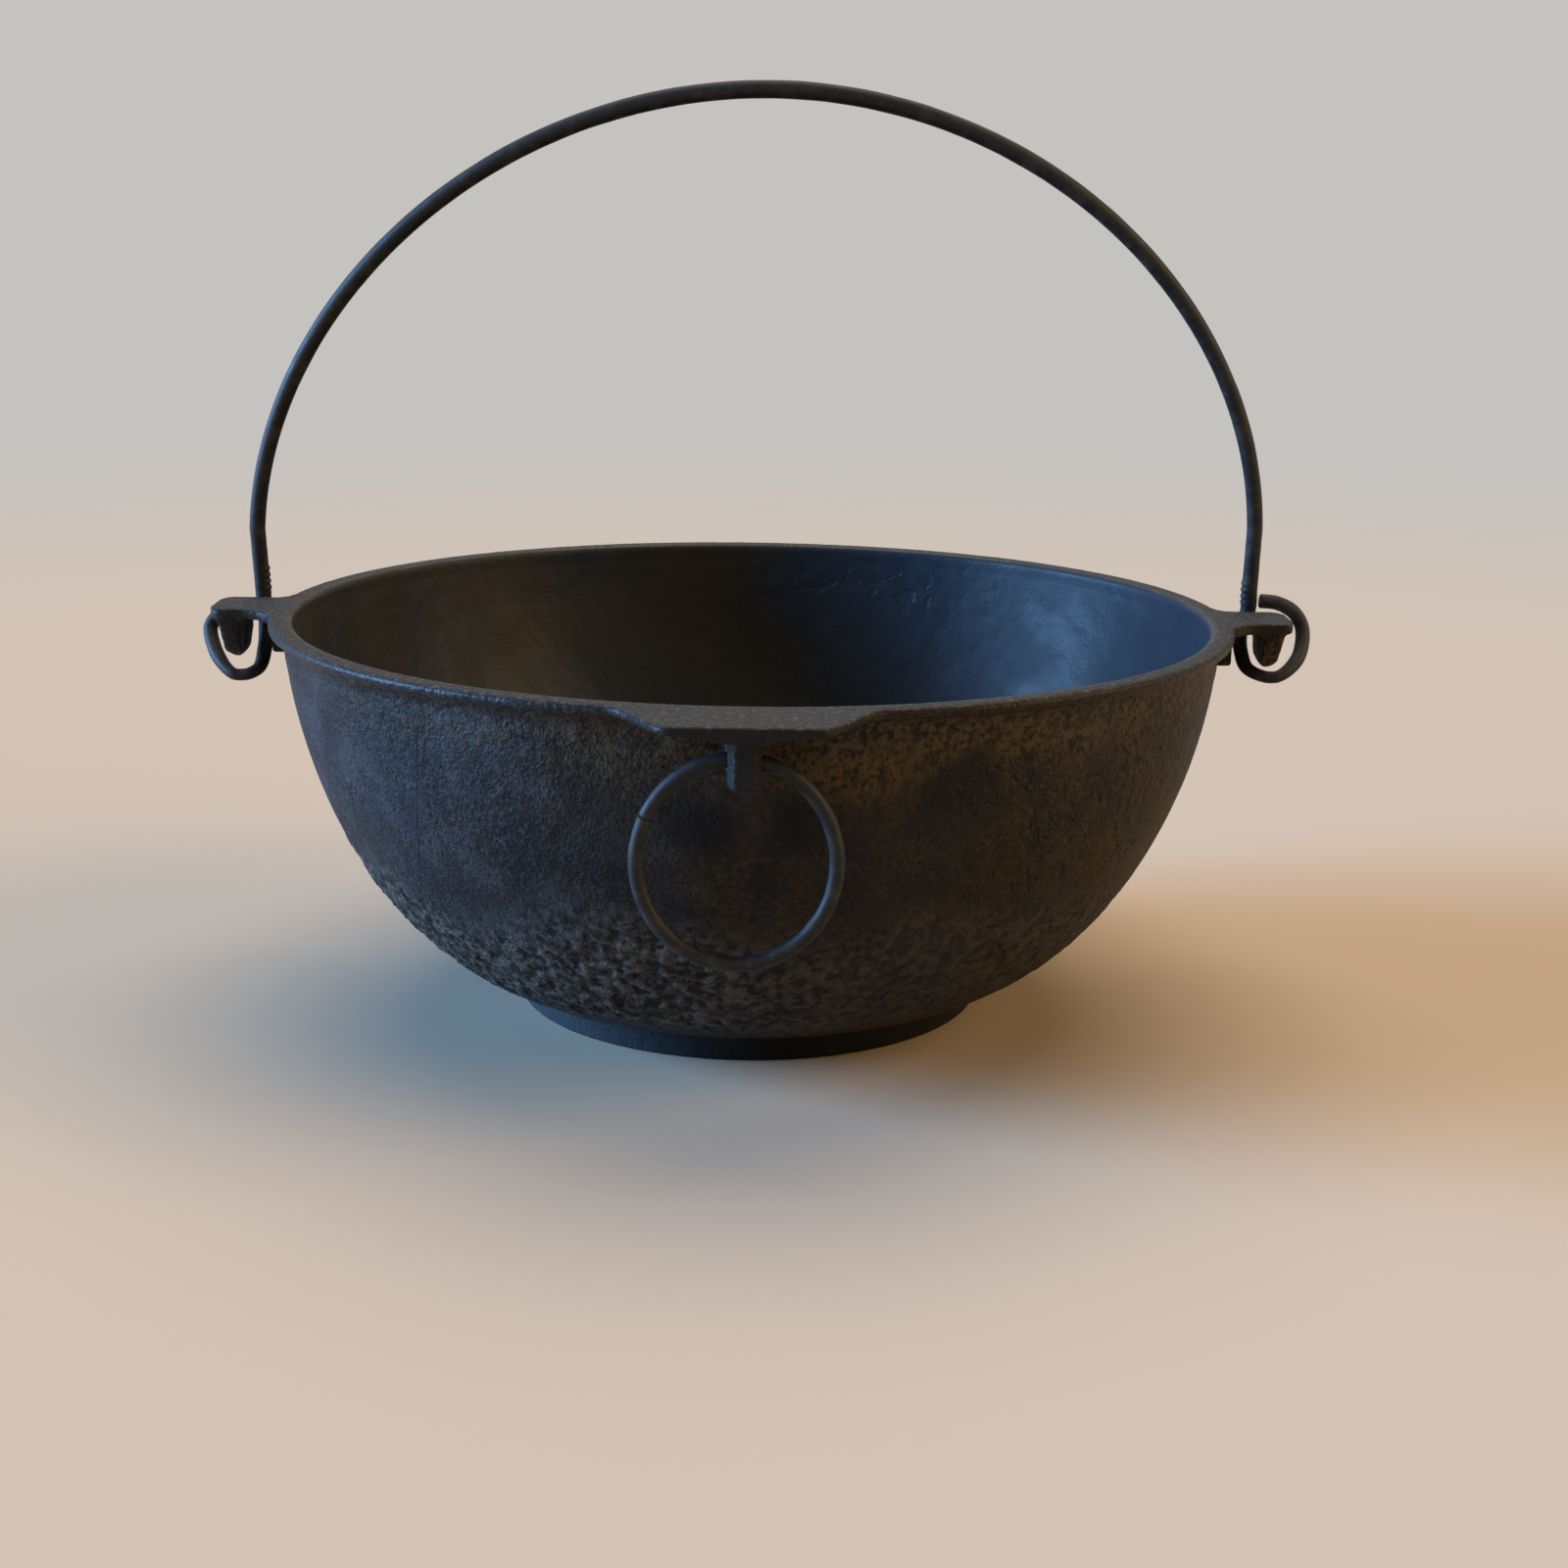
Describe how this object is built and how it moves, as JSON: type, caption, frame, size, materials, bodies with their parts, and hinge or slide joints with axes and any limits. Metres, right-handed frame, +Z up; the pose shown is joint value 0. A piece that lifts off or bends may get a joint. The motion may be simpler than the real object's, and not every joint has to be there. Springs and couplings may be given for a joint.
{
  "type": "scotch bowl",
  "caption": "Round cast-iron bowl on a flat foot, carried by a wire bail hung in cast ears, with a wire tipping ring hinged under a plate on the front of its rim.",
  "frame": {"origin": "centre of the foot's flat underside, which rests on the table", "axes": "+Z up along the bowl's axis, +X through the right ear, -Y through the tipping ring's plate"},
  "size_m": [0.3211, 0.2875, 0.2553],
  "materials": {
    "cast_iron": "sand-cast, oiled, near-black with a brown patina",
    "bail_wire": "blackened round wire, satin",
    "ring_wire": "blackened round wire, satin"
  },
  "bodies": {
    "bowl": {"bowl": "cast_iron"},
    "bail": {"bail": "bail_wire"},
    "tipping_ring": {"tipping_ring": "ring_wire"}
  },
  "joints": [
    {"name": "bail_swing", "type": "hinge", "parent": "bowl", "child": "bail", "pos_m": [0, 0.001, 0.1056], "axis": [-1, 0, 0], "range_deg": [0, 90]},
    {"name": "ring_swing", "type": "hinge", "parent": "bowl", "child": "tipping_ring", "pos_m": [0, -0.139, 0.1004], "axis": [-1, 0, 0], "range_deg": [-20, 110]}
  ]
}
